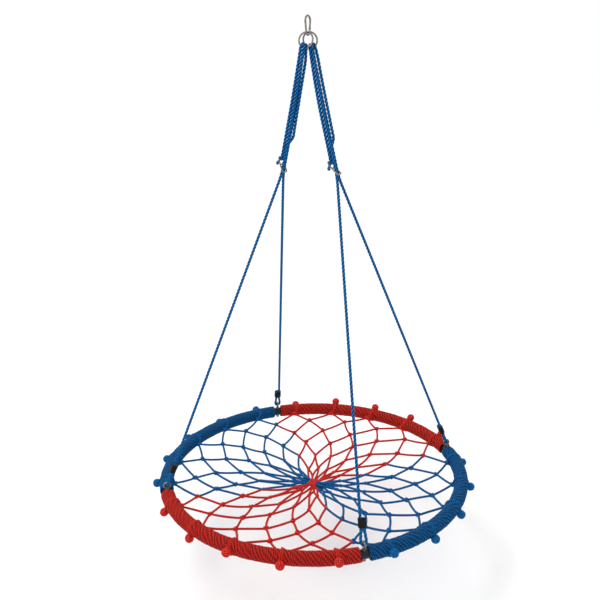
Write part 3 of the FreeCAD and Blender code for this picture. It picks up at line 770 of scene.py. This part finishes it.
def add_attachments(cords):
    """Short cords that loop the net's edge knots to the lashings on the ring."""
    for column in range(NET_COLUMNS):
        degrees = 360.0 / NET_COLUMNS * column
        quarter = quarter_of(polar(1, degrees, 0))
        for lane in (-1, 1):
            turn = lane * math.degrees(0.0042 / RING_RADIUS)
            t = np.linspace(0.0, 1.0, 14)
            phi = math.pi + lane * (0.95 - 0.75 * t)
            radius = WRAP_RADIUS + 0.0012 + 0.0005 * t
            line = on_ring(degrees + turn * (1 - t), radius, phi)
            tip = net_point(0, column)
            reach = (t ** 2)[:, None]
            cords[quarter].add(line * (1 - reach) + tip[None, :] * reach, NET_CORD_RADIUS,
                               pitch=NET_TWIST, phase=lane, taper=0.002)
        centre = net_point(0, column)
        out = polar(1, degrees, 0)
        tangent = polar(1, degrees + 90, 0)
        t = np.linspace(0.0, 2 * math.pi * 1.5, 32)
        wrap = (centre + np.outer(0.009 * (t / t[-1] - 0.35), -out)
                + np.outer(0.0048 * np.cos(t), tangent)
                + np.outer(0.0044 * np.sin(t), np.array((0.0, 0.0, 1.0))))
        cords[quarter].add(wrap, NET_CORD_RADIUS, pitch=NET_TWIST, taper=0.002)


def make_centre(cords):
    """The last cords run in from each side in pairs and meet in four bundles at the middle."""
    bottom = RING_Z - NET_SAG
    last = len(NET_ROWS) - 1
    for column in range(NET_COLUMNS):
        start = net_point(last, column)
        quarter = quarter_of(start)
        degrees = math.degrees(math.atan2(start[1], start[0]))
        middle = QUARTERS[quarter]
        off = (degrees - middle + 180) % 360 - 180
        if quarter in BLUE_QUARTERS:
            reach, spread = 0.020, 0.012
        else:
            reach, spread = 0.012, 0.015
        for lane in (-1, 1):
            sideways = spread * math.sin(math.radians(off * 2)) + 0.0022 * lane
            target = polar(reach, middle, bottom) + polar(sideways, middle + 90, 0)
            target[2] += 0.004 * math.cos(column * 2.4 + lane)
            bow = 0.004 * math.sin(column * 3.1) + 0.005 * lane
            cords[quarter].add(bowed(start, target, bow, 0.001), NET_CORD_RADIUS,
                               pitch=NET_TWIST, phase=lane)


def hub_piece():
    """Red cords over the middle, and the blue loops that they pass through."""
    bottom = np.array((0.0, 0.0, RING_Z - NET_SAG))
    cord = CordMesh()
    for index in range(5):
        across = -0.0115 + 0.0057 * index
        points = [
            (across * 1.1, -0.019, 0.001),
            (across * 0.9, -0.010, 0.0055 + 0.0012 * math.sin(index * 2.0)),
            (across * 0.7, 0.0, 0.0068),
            (across * 0.9, 0.010, 0.0055 - 0.0012 * math.sin(index * 2.0)),
            (across * 1.1, 0.019, 0.001),
        ]
        line = even_line(smooth_line([bottom + np.array(p) for p in points], 12), 0.0018)
        cord.add(line, NET_CORD_RADIUS, pitch=NET_TWIST, phase=index, taper=0.002)
    for index in range(4):
        across = -0.008 + 0.0053 * index
        points = [
            (across, -0.016, -0.001),
            (across * 0.9, -0.006, -0.0052),
            (across * 0.9, 0.006, -0.0052),
            (across, 0.016, -0.001),
        ]
        line = even_line(smooth_line([bottom + np.array(p) for p in points], 12), 0.0018)
        cord.add(line, NET_CORD_RADIUS, pitch=NET_TWIST, phase=index, taper=0.002)
    red = cord.build("centre_red_cords", RED)
    cord = CordMesh()
    for side in (-1, 1):
        for index in range(6):
            back = -0.0125 + 0.005 * index
            rise = 0.0045 * math.sin(index * 2.1 + side)
            points = [
                (side * 0.042, back * 1.3 - 0.002, 0.003 + rise),
                (side * 0.022, back - 0.003, 0.0065 + rise),
                (side * 0.0075, back * 0.8, 0.0015),
                (side * 0.022, back + 0.003, -0.005 + rise),
                (side * 0.042, back * 1.3 + 0.002, -0.003),
            ]
            line = even_line(smooth_line([bottom + np.array(p) for p in points], 12), 0.0018)
            cord.add(line, NET_CORD_RADIUS, pitch=NET_TWIST, phase=index, taper=0.002)
    blue = cord.build("centre_blue_loops", BLUE)
    for piece, slot in ((red, "red_cord"), (blue, "blue_cord")):
        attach(piece, "seat")
        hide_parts("net_centre")


for quarter in QUARTERS:
    make_wrap(quarter)
    make_ring_knots(quarter)
net_cords = make_net()
add_attachments(net_cords)
make_centre(net_cords)
for quarter, net_cord in net_cords.items():
    net_piece = net_cord.build(f"knotted_net_{quarter}", quarter_material(quarter))
    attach(net_piece, "seat")
    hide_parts(f"net_{quarter}")
hub_piece()


# ---------------------------------------------------------------- carried-over CAD nodes


def finish_node(name, material, smooth_angle=40.0):
    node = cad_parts[name]
    node.data.materials.clear()
    node.data.materials.append(material)
    node.data.polygons.foreach_set("use_smooth", np.ones(len(node.data.polygons), bool))
    node.data.set_sharp_from_angle(angle=math.radians(smooth_angle))


for node_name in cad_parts:
    if node_name.startswith(("snap_hook", "gate_", "o_ring", "rope_adjuster", "eye_bolt")):
        finish_node(node_name, STEEL)
    elif node_name.startswith("bolt_"):
        finish_node(node_name, NUT_STEEL)
    elif node_name.startswith("clamp_"):
        finish_node(node_name, SLEEVE, 30.0)
    elif node_name.startswith("ring_tube"):
        finish_node(node_name, TUBE_PAINT)
    elif node_name == "rope_ferrules":
        finish_node(node_name, ALUMINIUM)


# ---------------------------------------------------------------- floor and light


FLOOR_BELOW_RING = 0.24


def make_floor():
    material, _, _, shader = new_material("floor")
    shader.inputs["Base Color"].default_value = (0.9, 0.9, 0.9, 1)
    shader.inputs["Roughness"].default_value = 1.0
    mesh = bpy.data.meshes.new("floor")
    reach = 14.0
    z = RING_Z - FLOOR_BELOW_RING
    mesh.from_pydata([(-reach, -reach, z), (reach, -reach, z), (reach, reach, z), (-reach, reach, z)],
                     [], [(0, 1, 2, 3)])
    mesh.materials.append(material)
    floor = bpy.data.objects.new("floor", mesh)
    bpy.context.scene.collection.objects.link(floor)


def make_light(name, place, target, size, power):
    data = bpy.data.lights.new(name, "AREA")
    data.size = size
    data.energy = power
    lamp = bpy.data.objects.new(name, data)
    lamp.location = place
    lamp.rotation_mode = "QUATERNION"
    lamp.rotation_quaternion = (Vector(target) - Vector(place)).to_track_quat("-Z", "Y")
    bpy.context.scene.collection.objects.link(lamp)


def make_sun():
    """A broad soft sun from the upper left, for the faint shadow on the floor."""
    data = bpy.data.lights.new("sun", "SUN")
    data.energy = 0.75
    data.angle = math.radians(22)
    lamp = bpy.data.objects.new("sun", data)
    lamp.rotation_mode = "QUATERNION"
    lamp.rotation_quaternion = Vector((0.70, -0.22, -1.0)).to_track_quat("-Z", "Y")
    bpy.context.scene.collection.objects.link(lamp)


def make_world():
    world = bpy.data.worlds.new("studio")
    world.use_nodes = True
    background = world.node_tree.nodes["Background"]
    background.inputs["Color"].default_value = (1.0, 1.0, 1.0, 1.0)
    background.inputs["Strength"].default_value = 1.0
    bpy.context.scene.world = world


make_floor()
make_world()
make_sun()
make_light("key", (-1.2, -1.6, 1.2), (0.0, 0.0, -1.2), 1.2, 20.0)
bpy.context.scene.view_settings.view_transform = "Standard"
